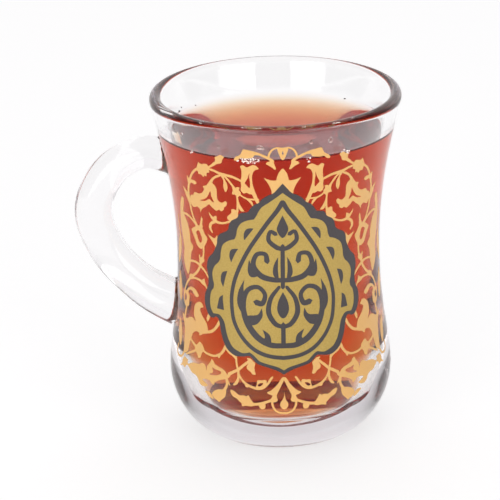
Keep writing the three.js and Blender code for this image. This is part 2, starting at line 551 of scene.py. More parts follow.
tea = spun("black_tea", fill_outline(TEA_INTO_WALL, CONTACT_LEVEL, meniscus()))
only(tea)
bpy.ops.object.shade_smooth_by_angle(angle=SMOOTH_ANGLE)
mark_wet(tea, tea_wetness)
mark_wet(glass, glass_wetness_and_painted_dimming)
print("tea:", len(tea.data.polygons), "faces, level", round(TEA_LEVEL, 2), "mm")

# %% [markdown]
# The points of the scroll and the shield were read off the photo, so they are written in its pixels,
# across and down. Only the left half is drawn, because the right one mirrors it. A leaf is a closed
# outline. A stem is a brush stroke, with its width as the third number. A gap is cut out of the leaves. A
# point given twice is a sharp corner. The pieces whose names start with far are squeezed or hidden at the
# side of the photo, so they are partly guessed.

# %% Gold scroll: leaves and flowers
LEAVES = {
    "leafy_spray": [
        (234, 159.8), (235.5, 156.8), (240, 154.8), (243, 149.4), (243, 149.4), (246, 149.8),
        (250, 150.4), (254, 151.6), (258, 152.6), (263, 154.6), (267, 156.5), (271, 158),
        (273.9, 160.5), (273.8, 163.5), (276, 169), (276, 169), (274.6, 169.8), (271, 166.8),
        (265.8, 164.2), (265.8, 164.2), (267.5, 161.9), (270, 161.3), (268, 159.4), (264, 157.6),
        (259, 155.6), (254.5, 155.2), (252.5, 157.8), (248, 158.6), (243.5, 158.5), (240.5, 157.8),
        (237, 160.3), (235, 160.6),
    ],
    "spray_bud": [
        (205, 166.2), (209.5, 165.6), (213.5, 162.3), (215, 161.2), (214.9, 158.7), (214.6, 156.9),
        (217.3, 156), (220.5, 155), (224.2, 157.2), (224.2, 157.2), (222, 159.8), (220.9, 163),
        (217, 164), (213, 166.2), (207, 168.6),
    ],
    "lobed_flower": [
        (198.4, 161.6), (198.4, 161.6), (200.7, 164), (204, 163.6), (207.2, 164.5), (208, 167),
        (208.3, 169.5), (209.5, 172.4), (206.8, 173), (206.5, 176.2), (204.6, 175.2), (203.6, 177),
        (201, 174.4), (198.6, 173.8), (198, 171.5), (196.4, 169), (196.8, 166),
    ],
    "stem_thorn": [
        (187, 175), (187, 175), (189.4, 178.5), (191.5, 179.4), (194.5, 180.4), (196.6, 183),
        (194.6, 184.2), (191.5, 182.6), (188.8, 184), (187.6, 180),
    ],
    "palmette": [
        (222, 174.2), (216, 175.2), (212, 177.8), (208.5, 182.4), (206, 185.2), (203, 185.8),
        (204, 189), (202, 192.6), (198.5, 193.3), (194.6, 191.8), (193.6, 194.4), (190.6, 195.4),
        (190.8, 201.5), (193.5, 206.8), (197.4, 206.6), (199.8, 208.8), (200.9, 212.6), (200.9, 212.6),
        (202, 208.6), (206, 206.6), (209.2, 204.2), (211.5, 206.8), (214.5, 209.4), (216.6, 211),
        (218.8, 209.7), (221.2, 211.2), (223.8, 209.4), (224, 207.4), (226.2, 206), (226.9, 202.4),
        (225, 201), (222.6, 202.3), (220, 202), (217.6, 199.5), (216.9, 195), (216.4, 189),
        (214.8, 185.4), (212.2, 182.6), (214.5, 178.8), (219, 176.8),
    ],
    "drop_leaf": [
        (220.5, 175.8), (223.2, 180), (223.4, 186), (224.6, 190.6), (225.8, 192), (227.6, 188.6),
        (227.2, 184.2), (224.8, 179), (223, 175),
    ],
    "node_flower": [
        (232, 187), (234.8, 188), (237, 186.9), (239.7, 187.8), (238.8, 190), (240.8, 192.8),
        (239.8, 195.7), (237, 197), (235, 194.7), (232, 193.8), (233, 190.4),
    ],
    "twig_leaf": [
        (244, 196.5), (249.6, 199.4), (252.6, 202.8), (253, 206.8), (253, 206.8), (250.6, 203.6),
        (247.5, 200.4),
    ],
    "stem_leaf": [
        (237.2, 198), (240, 204.6), (242, 208), (244.4, 211.2), (244.4, 211.2), (241.4, 211.2),
        (239.2, 209), (237.8, 204),
    ],
    "trumpet_flower": [
        (240.1, 166.2), (243.4, 165.5), (246.4, 167.2), (249.6, 166), (253, 165), (256.6, 166.3),
        (258.6, 169.2), (255.5, 169.9), (253, 172.6), (252, 177), (252.6, 183.4), (254.4, 190),
        (257.2, 197), (259.8, 204.4), (257.6, 204.4), (254.3, 199), (252, 194.4), (249.5, 194.2),
        (246.6, 192.8), (243.5, 193.3), (240.6, 190), (241, 186), (240.6, 181.4), (241.6, 176),
        (241.3, 170.4),
    ],
    "shield_bud": [
        (231.8, 209), (236, 210), (238, 212), (237.6, 217), (235.5, 220.6), (232, 220.2),
        (228.3, 219.8), (227.3, 217), (229.4, 214.8), (231.2, 213),
    ],
    "bud_tip": [
        (213, 217.6), (216, 215.6), (216.8, 218.4), (216, 221),
    ],
    "shield_leaf": [
        (207.8, 233.8), (207.8, 233.8), (211.6, 236.6), (214.7, 238), (217.2, 234.8), (217.2, 234.8),
        (217.6, 240), (217, 245), (216, 248.4), (216, 248.4), (213.8, 243.6), (211, 239),
    ],
    "ring_flower": [
        (191.8, 229), (195.6, 226.2), (199.5, 225.4), (202.6, 228.6), (204.8, 234), (207.4, 238.6),
        (206.2, 243.2), (203.6, 247.6), (200.5, 248.4), (197.2, 244.8), (195.3, 239), (193.2, 233.6),
    ],
    "ring_spike": [
        (201.2, 216.2), (201.2, 216.2), (202.6, 218.8), (202.2, 223.4), (202.6, 228), (198.6, 228.4),
        (200.2, 222.6),
    ],
    "side_band": [
        (182.2, 196), (184, 200), (183.5, 209.5), (184.6, 215), (187.4, 222), (190, 233),
        (190.6, 240.6), (193.3, 247), (191.2, 253), (190.6, 262), (188.6, 273.6), (186, 268),
        (184.2, 258), (184.6, 248), (183.6, 240), (182.2, 230), (180.8, 216), (180.6, 205), (181, 199),
    ],
    "side_thorn": [
        (183, 185.2), (183, 185.2), (186.2, 189.6), (189.2, 195), (191.4, 202), (189.2, 202.6),
        (186.6, 196.4),
    ],
    "knot_leaf": [
        (200.8, 257.8), (203.2, 257.3), (204.6, 261), (202.2, 263.2), (200.6, 265.4),
    ],
    "knot_right_leaf": [
        (199.8, 279.8), (202.6, 279.6), (204.6, 278.6), (205, 282), (206.6, 286.4), (203.4, 285),
        (201, 282.4),
    ],
    "knot_bead": [
        (189.8, 274.4), (192.6, 273.8), (194.2, 276.4), (192.6, 279.2), (190, 278.4),
    ],
    "curl": [
        (186.6, 291.4), (188.4, 288), (191.4, 286.8), (194.8, 288.4), (197, 291.6), (198.8, 295.2),
        (197.4, 297), (195.6, 296.2), (193.4, 292.6), (191.6, 290), (189.4, 290), (187.6, 293.4),
    ],
    "side_ring": [
        (184.2, 290), (187, 290.4), (189.4, 294.4), (189.4, 299.6), (188.8, 305.4), (186, 305.8),
        (184.4, 300),
    ],
    "hooked_palmette": [
        (183, 312.6), (186.4, 317.8), (190, 317), (193, 317.4), (195.5, 321.2), (194.2, 314.5),
        (194.2, 309), (195.4, 304.6), (198.8, 301.6), (201.4, 302.6), (202.8, 304.8), (203.4, 307.4),
        (200.9, 307.6), (200.3, 310.2), (202, 315), (204.5, 319), (206.6, 323), (207.9, 328.5),
        (207.4, 333), (203, 333.8), (199.8, 335.4), (199.2, 332.6), (196, 331.2), (193, 333),
        (191.4, 338), (189.4, 345), (187.8, 351), (184, 352), (184.4, 344), (185, 334), (184.8, 325),
    ],
    "small_drop": [
        (208.6, 313.6), (210.2, 316.2), (208, 321.6), (206.6, 319), (207.4, 316),
    ],
    "lower_flower": [
        (199.7, 341.6), (201.7, 343.4), (203.4, 346.6), (204.2, 350), (202.5, 352.6), (201.2, 355),
        (200.6, 357), (198.2, 358), (197.8, 355), (196.4, 352), (194.6, 350), (195.2, 347.6),
        (195, 345.7), (197.5, 344),
    ],
    "corner_leaf": [
        (217, 354), (221, 354), (219.4, 358.2), (218, 357),
    ],
    "low_trumpet": [
        (246.8, 358.2), (250.6, 358.4), (253.2, 361), (255.4, 363.4), (254.4, 367.6), (255.2, 372),
        (255.7, 374.2), (252.6, 374.4), (250.4, 371.6), (247.4, 369.6), (246.6, 366.9), (247.6, 364.4),
        (249, 361.4),
    ],
    "scroll_bud": [
        (244.8, 382.4), (248.4, 384), (248.6, 387), (245.6, 386.6),
    ],
    "loop_bud": [
        (256.6, 384.6), (257.6, 380.2), (261, 380.3), (265.9, 380), (266.4, 383.4), (264.4, 387.2),
        (260, 388.6), (256, 387.4),
    ],
    "low_palmette": [
        (188.2, 364.4), (192, 362.6), (196, 363.2), (199, 363.8), (203, 363.1), (205.6, 365.8),
        (206.8, 370.6), (207.4, 366), (210.4, 362), (211.8, 359), (211.8, 359), (213.9, 361.4),
        (214.6, 363.5), (218, 366.4), (223, 369), (225.9, 372), (227.2, 374.6), (230.4, 376),
        (226.4, 378.6), (219.5, 380.2), (215, 382.2), (214, 385), (211.4, 383), (209.4, 380.2),
        (205.6, 379), (202.6, 379.2), (205, 382.4), (208, 385), (206, 386.4), (202, 385.6),
        (199.4, 382.2), (198, 378), (195.8, 375), (192, 372.2), (190, 368.6),
    ],
    "low_bud": [
        (221.4, 389.2), (225.6, 389.9), (226, 393), (224.6, 397), (221.6, 399.6), (219.2, 402),
        (217.3, 400.3), (214.9, 398.6), (212.3, 394.4), (213.9, 391.1), (217, 389.5),
    ],
    "low_bud_leaf": [
        (205.2, 390.8), (209, 391.5), (211.7, 394), (213.7, 398.7), (209.8, 396.6),
    ],
    "foot_leaf": [
        (230.8, 389.6), (234.6, 391.4), (237.6, 394), (240, 395.3), (243.5, 395.3), (246.4, 396.2),
        (248.4, 395.1), (250.5, 399), (253, 402.3), (255.5, 404.4), (252, 406.2), (246, 405.6),
        (242.3, 406.2), (241.6, 403.5), (239.3, 401.5), (236.8, 398.6), (232.8, 396), (230.6, 392),
    ],
    "foot_bud": [
        (259.4, 404.4), (265.2, 404), (265, 408.2), (261.5, 409.2), (259.6, 407.2),
    ],
    "foot_spike": [
        (282.3, 377), (284.3, 378.5), (281.6, 385), (279, 390.6), (276.7, 396), (277.6, 399.8),
        (275.3, 402), (271, 401.6), (270.8, 398.6), (272.4, 395.6), (269.6, 394.5), (267.1, 392.5),
        (270.6, 390.7), (274, 388), (278, 383.4),
    ],
    "far_leaf_1": [
        (179.6, 262), (181.4, 252), (181.6, 240), (180.4, 232), (179.4, 240), (179, 252),
    ],
    "far_leaf_2": [
        (181.4, 300), (182.4, 290), (181.4, 276), (180, 270), (179.6, 282), (180, 294),
    ],
    "far_leaf_3": [
        (180.6, 345), (182, 338), (182, 326), (180.4, 318), (179.4, 328), (179.4, 338),
    ],
    "far_flower": [
        (184.4, 356.2), (186.2, 358), (188, 360), (187.6, 362.6), (189.4, 364.8), (186.4, 365),
        (184.8, 367), (183.2, 365), (180.6, 364.6), (182.6, 362.2), (182.8, 359.6),
    ],
}

# %% Gold scroll: stems
STEMS = {
    "stem_over_ring": [
        (268, 158.3, 2), (269.3, 153.5, 1.9), (272.5, 149.8, 1.8), (277, 147.9, 1.8), (281, 148.6, 2),
    ],
    "flower_stem": [
        (198, 168, 2), (194, 170.6, 1.8), (191.2, 175, 1.6), (189.6, 181, 1.8), (188.6, 189, 1.8),
        (189.3, 197, 2.2), (191, 201, 2.4),
    ],
    "stem_to_trumpet": [
        (206, 168, 2), (213, 170.2, 2.2), (219, 173.2, 2.6), (226, 175.2, 2.8), (233, 177.2, 2.6),
        (241.5, 181, 2.2),
    ],
    "stem_to_node": [
        (223, 174.8, 1.8), (228, 180, 2), (232, 184.8, 2), (235, 189, 2.4),
    ],
    "stem_to_shield": [
        (238.5, 192.8, 1.4), (242.5, 196.4, 1.6), (248, 198.9, 1.7), (258.5, 199.6, 1.7),
    ],
    "stem_down": [
        (236.8, 195, 1.6), (237.5, 203, 1.8), (237.6, 210, 2), (236.6, 216, 2.6),
    ],
    "bud_stem": [
        (233, 219.6, 2), (228, 221.9, 1.9), (222, 222.9, 2), (216.5, 221.6, 2.8), (212.8, 218.4, 2.8),
        (210.2, 214.8, 1.6), (208.8, 212, 0.4),
    ],
    "bud_twig": [
        (214.5, 221.6, 2.6), (211.3, 223.4, 2.4), (210.3, 227.5, 2.6), (212.4, 232.4, 1.4),
    ],
    "stem_left_to_ring": [
        (183, 212.3, 1.5), (187.6, 214.6, 1.7), (192.6, 219.6, 1.9), (197.6, 226.8, 2.2),
    ],
    "stem_palmette_to_ring": [
        (190.2, 203, 2.2), (191.8, 211, 1.8), (194.6, 219.4, 1.8), (198, 226.8, 2.2),
    ],
    "ring_to_knot": [
        (203.4, 245, 2), (203.6, 252.6, 1.9), (202.8, 258.5, 2), (200.2, 264, 2.2),
    ],
    "knot_left": [
        (188, 261, 1.5), (192.4, 260.6, 1.6), (196.4, 262.2, 1.8), (200, 265, 2.4), (205, 271, 2),
        (209.4, 279, 1.4),
    ],
    "knot_up": [
        (199.6, 255, 1.4), (200.4, 261, 2), (199.8, 267, 2.2), (196, 273, 2), (191, 277, 1.8),
        (187.4, 282, 1.6), (185.6, 288, 1.4), (184.6, 295, 1.4), (186.8, 303, 1.8), (186, 311, 2),
        (184.6, 318, 2.2),
    ],
    "knot_right": [
        (191, 277, 1.4), (196.8, 278.6, 1.6), (202, 281.4, 2), (205.6, 285.6, 1.6), (208.4, 291, 0.6),
    ],
    "palmette_arm": [
        (201, 332.8, 2), (207, 332.2, 2.4), (212.4, 330.8, 2.6), (217, 326.6, 2.6),
        (219.6, 321.6, 2.8),
    ],
    "stem_to_flower": [
        (190.4, 337.4, 1.6), (193, 342, 2), (197, 347, 2.6),
    ],
    "stem_to_corner": [
        (203, 350.2, 1.9), (208, 354, 2), (214, 355.8, 2), (219.6, 354.8, 2.4), (223, 351.2, 2.6),
        (225.6, 346.4, 3),
    ],
    "stem_left_flower": [
        (196, 350.6, 1.8), (191, 351.9, 1.6), (186.6, 353.4, 1.2),
    ],
    "under_shield": [
        (225.4, 346, 2.6), (228.8, 351.6, 2.4), (233, 355, 2.4), (236.2, 358.4, 2.6),
    ],
    "stem_down_low": [
        (236.2, 357, 2.2), (236.7, 364, 1.9), (238.2, 371, 2.3), (238.4, 378, 2.4), (236.4, 383, 2.8),
        (233.6, 384.6, 1.6),
    ],
    "crossing": [
        (229, 374.2, 3), (234, 371.8, 2.8), (238.6, 369.2, 2.8), (243, 366, 2.6), (249, 361.4, 2.6),
    ],
    "low_scroll": [
        (238.4, 373, 1.8), (241.2, 378.6, 2), (246, 383.8, 2.4), (252, 387, 2.5), (258, 388.5, 2.6),
        (263.4, 387.6, 2.6), (268.2, 383.4, 2.4), (271, 379, 2.2), (272.6, 377, 1.8),
    ],
    "low_bud_stem": [
        (225.4, 375.4, 3), (227.2, 380.6, 2.6), (226.4, 386, 2.4), (223.6, 391, 3),
    ],
    "low_twig": [
        (226.6, 378.6, 1.8), (229.8, 385, 1.2),
    ],
    "foot_stem": [
        (252, 404.4, 2.6), (260, 403.8, 3), (266, 402.2, 2.8), (271.4, 400.2, 2.8), (275.6, 397.2, 3),
    ],
    "foot_arch": [
        (272.2, 399.5, 2.2), (272.6, 405, 2), (275.6, 410.4, 1.9), (280, 412.5, 1.8),
        (285.6, 412.9, 1.9),
    ],
    "far_stem_1": [
        (180.4, 232, 1.2), (179, 222, 1), (178.4, 214, 0.8),
    ],
    "far_loop": [
        (184.6, 351, 1.8), (181.8, 355.6, 1.6), (178.6, 354, 1.4), (177.8, 348.6, 1.3),
        (178.8, 343, 1.2),
    ],
}

# %% Gold scroll: gaps
LEAF_GAPS = {
    "palmette_gap": [
        (200.2, 200), (205, 198.4), (208, 195.6), (210.2, 191.2), (211.4, 196), (214, 202),
        (211.4, 200.8), (209.2, 199), (205, 200.8),
    ],
    "trumpet_gap": [
        (249.2, 173), (247.8, 178), (246.2, 180.6), (245, 183.2), (247, 185.8), (248.6, 187.5),
        (249.9, 187.2), (249.8, 182), (249.4, 177),
    ],
    "ring_flower_gap": [
        (196.2, 231.8), (198.8, 230.2), (201, 234.6), (202.2, 240), (201, 242.8), (199, 241),
        (197.6, 236),
    ],
    "side_ring_gap": [
        (185.2, 293.4), (186.6, 294), (187, 298), (185.8, 300.4), (184.9, 297.4),
    ],
    "loop_bud_gap": [
        (257.6, 385.4), (260, 383.4), (263, 382.9), (262.2, 385), (259.6, 386.4),
    ],
    "low_palmette_gap": [
        (212.2, 367.1), (216, 369.4), (220, 371), (221.2, 372.8), (219, 374.7), (214, 375.2),
        (210, 374.6), (209.4, 373.6), (212.6, 372.8), (213, 370.6),
    ],
}

# %% [markdown]
# Some pieces sit on the middle line: the crown over the shield, the ring at the top, and the bud at the
# foot. For these, one side is drawn from top to bottom.

# %% Pieces on the middle line
MIDDLE_LEAVES = {
    "crown": [
        (283.5, 168.3), (280.8, 169.8), (278.2, 173.5), (276.6, 178.5), (275.8, 180.6), (270, 180),
        (263.5, 178), (263.5, 178), (268, 183.5), (271.2, 190), (272, 195.5), (272, 195.5), (277, 192),
        (283.5, 190),
    ],
    "top_ring": [
        (283.5, 148), (281, 147.6), (278, 148.6), (277.6, 150), (279, 155), (280.8, 158.6),
        (283.5, 160),
    ],
    "hanging_bud": [
        (285.3, 391.8), (284, 393), (283.3, 396), (282.8, 399.5), (280.5, 402.5), (280.3, 405.5),
        (282, 408.2), (285.2, 409.3),
    ],
}
MIDDLE_GAPS = {
    "top_ring_gap": [
        (283.5, 150.9), (282.2, 152), (282, 153.6), (282.6, 155), (283.5, 155.5),
    ],
}

# %% [markdown]
# The shield is an olive gold field with a lobed outline. A dark line goes round it and another one, like a
# drop, lies inside it. Half moons stand between the two.

# %% Shield
SHIELD = {
    "field": [
        (283.5, 193), (283.5, 193), (275, 198.5), (268, 203), (262, 207), (258.6, 211.5),
        (256.6, 215.6), (254, 219.3), (254, 219.3), (247, 220.5), (241, 223.5), (237.3, 229),
        (236.4, 235), (234.5, 239.3), (234.5, 239.3), (228, 240.9), (222.8, 245), (221, 251),
        (220.5, 258), (218.8, 262), (218.8, 262), (214.5, 266), (212.4, 272), (213, 279), (214, 284),
        (213.6, 288), (213.6, 288), (211, 292), (210.2, 300), (211, 307), (213.4, 313), (213.4, 313),
        (219, 314.3), (222.2, 317.5), (224.6, 323), (226.5, 331), (229, 340), (233, 347), (238, 351),
        (243, 353.2), (249.5, 352.5), (249.5, 352.5), (253, 354.4), (256, 358), (259.5, 361),
        (265, 363.2), (272, 365.4), (278.5, 367.4), (284.9, 370.2), (284.9, 370.2),
    ],
    "border": [
        (283.5, 183.5), (283.5, 183.5), (278, 188.6), (273, 193.3), (268, 195.6), (262, 199),
        (258.6, 202.8), (254.6, 204.6), (250.6, 208), (248, 211.9), (243.5, 212.6), (239.6, 213.6),
        (237, 217.8), (231.6, 220.6), (229.3, 224.4), (228, 229.6), (224, 232), (219.5, 233.9),
        (217.6, 238), (217, 243.6), (215, 249), (212.6, 253.4), (209.2, 256.8), (207.5, 261),
        (207, 268), (208.3, 274), (208.8, 282), (207.6, 287.4), (205.6, 292.4), (205, 300),
        (206.2, 308), (208.8, 314), (211, 316.8), (213.6, 317.4), (216.4, 316.4), (218.6, 319),
        (220, 324), (221.3, 332), (223.5, 340), (226.6, 347.6), (231, 352.8), (236, 355.6),
        (243, 356.4), (249.5, 356.2), (253, 359.6), (257, 363.4), (264, 366.4), (272, 368.9),
        (278, 371), (284.9, 374.6), (284.9, 374.6),
    ],
}
HALF_MOONS = {
    "half_moon_1": [
        (244, 239), (243.9, 233.4), (246.4, 229.2), (250, 228.2), (253.6, 228.4), (253.6, 228.4),
        (250.8, 232), (247.4, 236.6), (244.8, 240), (244.8, 240),
    ],
    "half_moon_2": [
        (231.2, 262.2), (231.2, 262.2), (229.4, 256), (230.4, 250.6), (233.5, 249), (238.4, 248.9),
        (238.4, 248.9), (236, 252.5), (233.5, 257.5),
    ],
    "half_moon_3": [
        (223.3, 286.8), (223.3, 286.8), (221.1, 281), (221.3, 275), (223, 271.8), (227.3, 271),
        (227.3, 271), (225.8, 276), (224.3, 282),
    ],
    "half_moon_4": [
        (224.2, 310), (224.2, 310), (217.3, 308.4), (217.3, 308.4), (218, 303), (219.8, 297.4),
        (223, 294.8), (223, 294.8), (223, 300), (223.4, 305),
    ],
}
DROP_LINE = [
    (283.6, 202), (277, 211), (268, 222.5), (259, 234.5), (250, 247.5), (243.2, 259.5), (238, 270.5),
    (234, 282.5), (232, 295.5), (232, 308), (234, 320), (238.6, 331.5), (245.2, 341), (253, 348.4),
    (262, 353.6), (272, 356.8), (284.7, 358),
]
DROP_LINE_WIDTHS = [1.25, 1.2, 1.15] + [1.1] * 8 + [1.05] * 6  # mm, thinner towards its lower end

# %% [markdown]
# The drop is filled with a made-up arabesque: a lotus between scrolled stems. No pixels were read for it, so
# it is drawn in millimetres, across from the middle line and up from the table.

# %% Arabesque
ARABESQUE_STEMS = {
    "lower_scroll": [
        (0.0, 32.6, 1.3), (-3.6, 32.9, 1.5), (-7.2, 35.0, 1.7), (-10.0, 38.8, 1.7), (-11.0, 43.2, 1.5),
        (-9.8, 47.2, 1.3), (-6.9, 48.4, 1.2), (-4.9, 46.5, 1.2), (-5.6, 44.0, 1.4), (-7.4, 44.2, 1.6),
    ],
    "lotus_petal": [
        (0.0, 37.6, 1.0), (-2.2, 38.6, 1.3), (-3.9, 41.6, 1.4), (-3.3, 45.4, 1.2), (-1.0, 48.6, 0.9),
    ],
    "lotus_stem": [(0.0, 33.0, 1.2), (0.0, 35.6, 1.2), (0.0, 38.4, 1.2)],
    "middle_scroll": [
        (0.0, 50.4, 1.2), (-2.8, 50.6, 1.4), (-6.0, 51.6, 1.6), (-8.0, 54.4, 1.4), (-7.0, 57.4, 1.2),
        (-4.7, 57.6, 1.2), (-4.2, 55.6, 1.5),
    ],
    "upper_stem": [(0.0, 48.4, 1.1), (0.0, 54.0, 1.2), (0.0, 60.0, 1.1)],
    "upper_scroll": [
        (0.0, 59.0, 1.1), (-1.8, 59.7, 1.3), (-3.7, 61.6, 1.2), (-3.2, 64.0, 1.0), (-1.8, 63.3, 1.2),
    ],
}
ARABESQUE_LEAVES = {
    "scroll_leaf": [
        (-10.6, 40.4), (-12.6, 43.0), (-12.4, 46.6), (-10.6, 50.2), (-10.6, 50.2), (-10.9, 47.4),
        (-10.2, 44.6),
    ],
    "inner_leaf": [
        (-9.4, 38.0), (-7.2, 38.2), (-5.6, 40.4), (-5.8, 42.6), (-5.8, 42.6), (-7.0, 40.8), (-9.8, 40.2),
    ],
    "low_leaf": [(-3.4, 33.0), (-3.6, 35.4), (-5.6, 36.9), (-5.6, 36.9), (-4.9, 34.9), (-5.6, 33.7)],
    "side_leaf": [(-6.4, 51.8), (-8.6, 51.0), (-9.6, 52.6), (-9.2, 55.8), (-9.2, 55.8), (-8.2, 53.8)],
    "twin_leaf": [(-1.2, 50.5), (-2.6, 52.0), (-2.4, 54.6), (-1.2, 56.9), (-1.2, 56.9), (-1.3, 53.6)],
}
ARABESQUE_MIDDLE = {
    "lotus_heart": [(0.0, 47.2), (0.0, 47.2), (-1.2, 44.8), (-1.6, 42.4), (-0.9, 40.6), (0.0, 40.0)],
    "top_bud": [(0.0, 68.6), (0.0, 68.6), (-1.0, 66.4), (-1.5, 64.6), (-0.8, 62.9), (0.0, 62.2)],
}

# %% [markdown]
# The print is enamel that was screened on flat and then fired, so it becomes flat here too: millimetres
# across from its own middle line, and up from the table. For that, the line of sight of each pixel is
# followed from the camera to where it meets the glass, and the glass is unrolled. A line of sight that just
# misses the side of the glass stops where it passes closest to it.

# %% From pixels to millimetres
UNROLLED_RADIUS = 28.5  # mm, what a distance across is divided by to get an angle
PRINT_TURN = math.radians(2.1)  # how far the print's middle is turned away from the handle
PRINT_TILT = math.radians(-0.6)
PRINT_PIVOT = 50.0  # mm, the height it is tilted about
MIDDLE_PIXEL = 283.0  # px, past it a point of a piece on the middle line lies on that line
BROADEST_PIXEL = 0.42  # mm, the most that one pixel of a stroke's width stands for
SIGHT_REACH = 80.0  # mm, a line of sight is followed this far before and past the foot's distance
SIGHT_STEPS = 7999  # in twice that reach
SIGHT_STRIDE = 50  # steps at a time in the first search
NOWHERE_NEAR = 1000.0  # mm


def sight_line(px, py):
    """The camera's place and the direction in which it sees a pixel, in millimetres."""
    across = (px - AXIS_AT[0]) / FOCAL_LENGTH
    down = (py - AXIS_AT[1]) / FOCAL_LENGTH
    right = across * math.cos(CAMERA_ROLL) - down * math.sin(CAMERA_ROLL)
    low = across * math.sin(CAMERA_ROLL) + down * math.cos(CAMERA_ROLL)
    level, steep = math.cos(CAMERA_ELEVATION), math.sin(CAMERA_ELEVATION)
    eye = (0.0, -level * CAMERA_DISTANCE, HEIGHT / 2 + steep * CAMERA_DISTANCE)
    length = math.sqrt(1 + right**2 + low**2)
    return eye, (right / length, (level - low * steep) / length, (-steep - low * level) / length)


def seen_on_glass(px, py):
    """The point of the glass's outside that a pixel shows, in millimetres."""
    eye, sight = sight_line(px, py)
    start = math.hypot(*eye) - SIGHT_REACH

    def place(step):
        return [e + s * (start + 2 * SIGHT_REACH * step / SIGHT_STEPS) for e, s in zip(eye, sight)]

    def gap(step):
        x, y, z = place(step)
        if not UNDERSIDE_HOLLOW < z < OUTSIDE[-1][1]:
            return NOWHERE_NEAR
        return math.hypot(x, y) - radius_at(OUTSIDE, z)

    strides = range(0, SIGHT_STEPS, SIGHT_STRIDE)
    inside = next((i for i in strides if gap(i) <= 0), None)
    closest = min(strides, key=gap) if inside is None else inside
    around = range(closest - SIGHT_STRIDE, closest + SIGHT_STRIDE)
    first = next((i for i in around if gap(i) <= 0), None)
    return place(min(around, key=gap) if first is None else first)


def unrolled(px, py):
    """What a pixel shows on the glass, in millimetres across and up on the flat print."""
    x, y, z = seen_on_glass(px, py)
    across = (math.atan2(x, -y) - PRINT_TURN) * UNROLLED_RADIUS
    up = z - PRINT_PIVOT
    flat_x = across * math.cos(PRINT_TILT) + up * math.sin(PRINT_TILT)
    flat_y = up * math.cos(PRINT_TILT) - across * math.sin(PRINT_TILT) + PRINT_PIVOT
    return flat_x, flat_y


def from_photo(points, on_middle=False):
    """Points in pixels as points in millimetres, rounded to a tenth, and widths to a hundredth."""
    found = []
    for px, py, *width in points:
        here = unrolled(px, py)
        across = 0.0 if on_middle and px > MIDDLE_PIXEL else here[0]
        sizes = []
        for w in width:
            beside = math.dist(here, unrolled(px + 1, py))
            below = math.dist(here, unrolled(px, py + 1))
            sizes.append(round(w * min(BROADEST_PIXEL, math.sqrt(beside * below)), 2))
        found.append((round(across, 1), round(here[1], 1), *sizes))
    return found

# %% [markdown]
# Drawing: a smooth curve goes through the points of each outline, and turns sharply at its corners. A stroke
# is the same curve with a width to each side. Every outline runs anticlockwise, which the next step needs.

# %% From points to flat outlines
POINT_SPACING = 0.4  # mm along a curve


def curve_through(points):
    """A smooth open curve through points of any number of values."""
    if len(points) < 3:
        return [Vector(p) for p in points]
    first = [2 * a - b for a, b in zip(points[0], points[1])]
    last = [2 * a - b for a, b in zip(points[-1], points[-2])]
    padded = [Vector(p) for p in (first, *points, last)]
    found = []
    for p0, p1, p2, p3 in zip(padded, padded[1:], padded[2:], padded[3:]):
        steps = max(2, math.ceil((p2.to_2d() - p1.to_2d()).length / POINT_SPACING))
        for i in range(steps):
            t = i / steps
            found.append(
                0.5
                * (
                    2 * p1
                    + (p2 - p0) * t
                    + (2 * p0 - 5 * p1 + 4 * p2 - p3) * t * t
                    + (3 * p1 - p0 - 3 * p2 + p3) * t**3
                )
            )
    found.append(padded[-2])
    return found


def anticlockwise(outline):
    area = sum(a.x * b.y - b.x * a.y for a, b in zip(outline, outline[1:] + outline[:1]))
    return outline if area > 0 else outline[::-1]


def leaf_outline(points):
    """A closed outline. It is cut into runs at its corners, the points that are given twice."""
    count = len(points)
    corners = [i for i in range(count) if points[i] == points[(i + 1) % count]]
    if corners:
        start = corners[0] + 1
        points = points[start:] + points[:start]
        runs = [[]]
        for before, point in zip([None] + points, points):
            if point == before:
                runs.append([])
            runs[-1].append(point)
        runs[-1].append(points[0])
        outline = [p for run in runs for p in curve_through(run)[:-1]]
    else:
        closed = points[-2:] + points + points[:3]
        dense = curve_through(closed)
        first = next(i for i, p in enumerate(dense) if (p - Vector(points[0])).length < 1e-6)
        last = max(i for i, p in enumerate(dense) if (p - Vector(points[0])).length < 1e-6)
        outline = dense[first:last]
    return anticlockwise([p.to_2d() for p in outline])


def middle_outline(half):
    """A closed outline from the half of it on one side of the middle line."""
    other = [(-x, y) for x, y in reversed(half) if x != 0]
    top = half[0]
    whole = half + other
    if half.count(top) == 2:
        whole = whole[1:] + [top]
    return leaf_outline(whole)


def stroke_outline(points):
    """A brush stroke with round ends."""
    curve = curve_through(points)
    sides = ([], [])
    for i, point in enumerate(curve):
        along = (curve[min(i + 1, len(curve) - 1)] - curve[max(i - 1, 0)]).to_2d().normalized()
        across = Vector((-along.y, along.x))
        sides[0].append(point.to_2d() + across * point.z / 2)
        sides[1].append(point.to_2d() - across * point.z / 2)
    ahead = (curve[-1] - curve[-2]).to_2d().normalized()
    behind = (curve[0] - curve[1]).to_2d().normalized()
    end = curve[-1].to_2d() + ahead * curve[-1].z / 2
    start = curve[0].to_2d() + behind * curve[0].z / 2
    return anticlockwise(sides[0] + [end] + sides[1][::-1] + [start])


def mirrored(outline):
    return [Vector((-p.x, p.y)) for p in reversed(outline)]


def both_sides(outlines):
    return outlines + [mirrored(outline) for outline in outlines]


leaves = [leaf_outline(from_photo(p)) for p in LEAVES.values()]
stems = [stroke_outline(from_photo(p)) for p in STEMS.values()]
scroll = both_sides(leaves + stems)
scroll += [middle_outline(from_photo(p, on_middle=True)) for p in MIDDLE_LEAVES.values()]
scroll_gaps = both_sides([leaf_outline(from_photo(p)) for p in LEAF_GAPS.values()])
scroll_gaps += [middle_outline(from_photo(p, on_middle=True)) for p in MIDDLE_GAPS.values()]
print("scroll:", len(scroll), "shapes and", len(scroll_gaps), "gaps")

